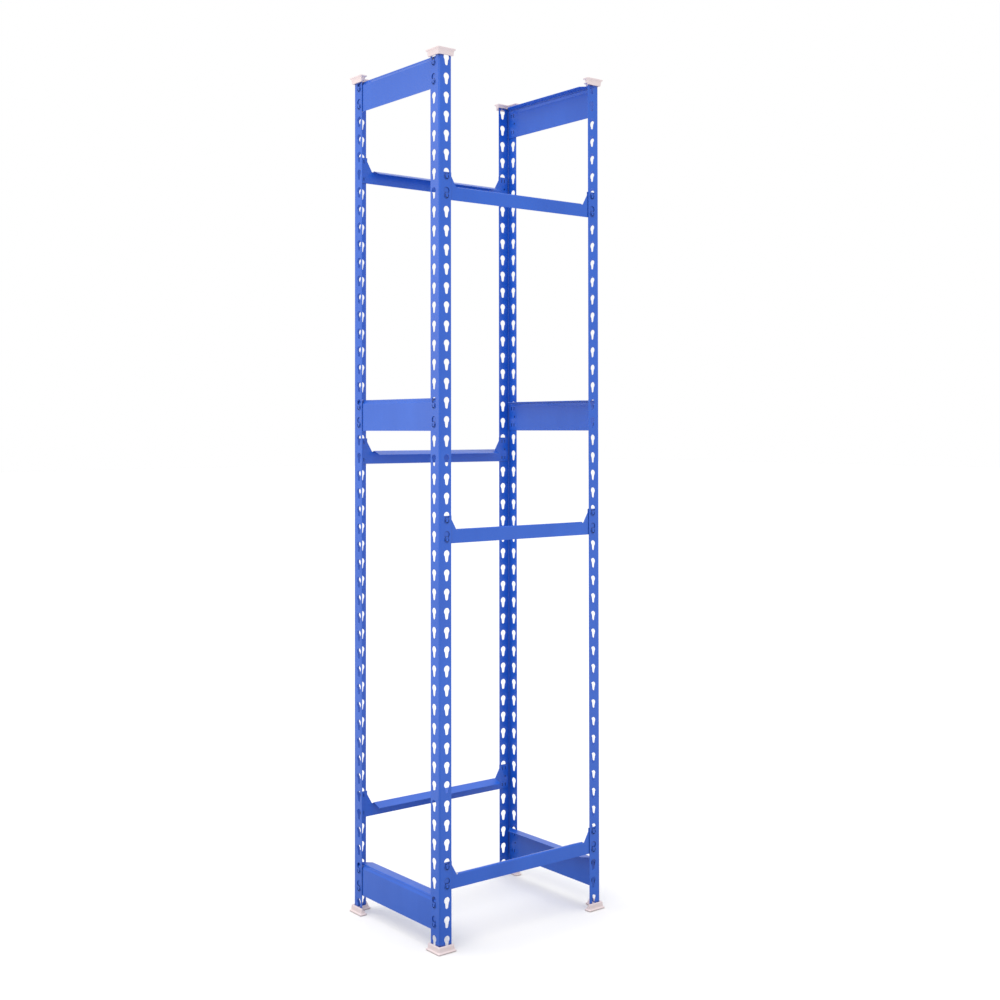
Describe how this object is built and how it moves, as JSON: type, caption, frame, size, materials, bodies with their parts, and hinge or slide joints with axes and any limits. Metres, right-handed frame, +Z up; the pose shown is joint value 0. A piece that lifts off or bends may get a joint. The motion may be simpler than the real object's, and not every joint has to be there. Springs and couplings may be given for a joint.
{
  "type": "slotted angle rack frame",
  "caption": "Tall narrow open rack frame: blue keyhole-slotted angle posts, hook-in side ties and sloped-lip shelf beams, white plastic caps and feet, no shelf boards",
  "frame": {"origin": "centre of the footprint over the feet, on the floor", "axes": "+X right along the front, +Y from front to back, +Z up along the posts"},
  "size_m": [0.4454, 0.3254, 1.7957],
  "materials": {
    "blue_coat": "satin powder coat",
    "cap_plastic": "matte"
  },
  "bodies": {
    "frame": {"post_front_left": "blue_coat", "post_front_right": "blue_coat", "post_back_left": "blue_coat", "post_back_right": "blue_coat", "cap_front_left": "cap_plastic", "cap_front_right": "cap_plastic", "cap_back_left": "cap_plastic", "cap_back_right": "cap_plastic", "foot_front_left": "cap_plastic", "foot_front_right": "cap_plastic", "foot_back_left": "cap_plastic", "foot_back_right": "cap_plastic", "tie_left_top": "blue_coat", "tie_right_top": "blue_coat"},
    "tie_left_middle_rail": {"tie_left_middle": "blue_coat"},
    "tie_left_bottom_rail": {"tie_left_bottom": "blue_coat"},
    "tie_right_middle_rail": {"tie_right_middle": "blue_coat"},
    "tie_right_bottom_rail": {"tie_right_bottom": "blue_coat"},
    "beam_front_top_rail": {"beam_front_top": "blue_coat"},
    "beam_front_middle_rail": {"beam_front_middle": "blue_coat"},
    "beam_front_bottom_rail": {"beam_front_bottom": "blue_coat"},
    "beam_back_top_rail": {"beam_back_top": "blue_coat"},
    "beam_back_middle_rail": {"beam_back_middle": "blue_coat"},
    "beam_back_bottom_rail": {"beam_back_bottom": "blue_coat"}
  },
  "joints": [
    {"name": "tie_left_middle_lift", "type": "slide", "parent": "frame", "child": "tie_left_middle_rail", "axis": [0, 0, 1], "range_m": [0, 0.0094]},
    {"name": "tie_left_bottom_lift", "type": "slide", "parent": "frame", "child": "tie_left_bottom_rail", "axis": [0, 0, 1], "range_m": [0, 0.0094]},
    {"name": "tie_right_middle_lift", "type": "slide", "parent": "frame", "child": "tie_right_middle_rail", "axis": [0, 0, 1], "range_m": [0, 0.0094]},
    {"name": "tie_right_bottom_lift", "type": "slide", "parent": "frame", "child": "tie_right_bottom_rail", "axis": [0, 0, 1], "range_m": [0, 0.0094]},
    {"name": "beam_front_top_lift", "type": "slide", "parent": "frame", "child": "beam_front_top_rail", "axis": [0, 0, 1], "range_m": [0, 0.0094]},
    {"name": "beam_front_middle_lift", "type": "slide", "parent": "frame", "child": "beam_front_middle_rail", "axis": [0, 0, 1], "range_m": [0, 0.0094]},
    {"name": "beam_front_bottom_lift", "type": "slide", "parent": "frame", "child": "beam_front_bottom_rail", "axis": [0, 0, 1], "range_m": [0, 0.0094]},
    {"name": "beam_back_top_lift", "type": "slide", "parent": "frame", "child": "beam_back_top_rail", "axis": [0, 0, 1], "range_m": [0, 0.0094]},
    {"name": "beam_back_middle_lift", "type": "slide", "parent": "frame", "child": "beam_back_middle_rail", "axis": [0, 0, 1], "range_m": [0, 0.0094]},
    {"name": "beam_back_bottom_lift", "type": "slide", "parent": "frame", "child": "beam_back_bottom_rail", "axis": [0, 0, 1], "range_m": [0, 0.0094]}
  ]
}
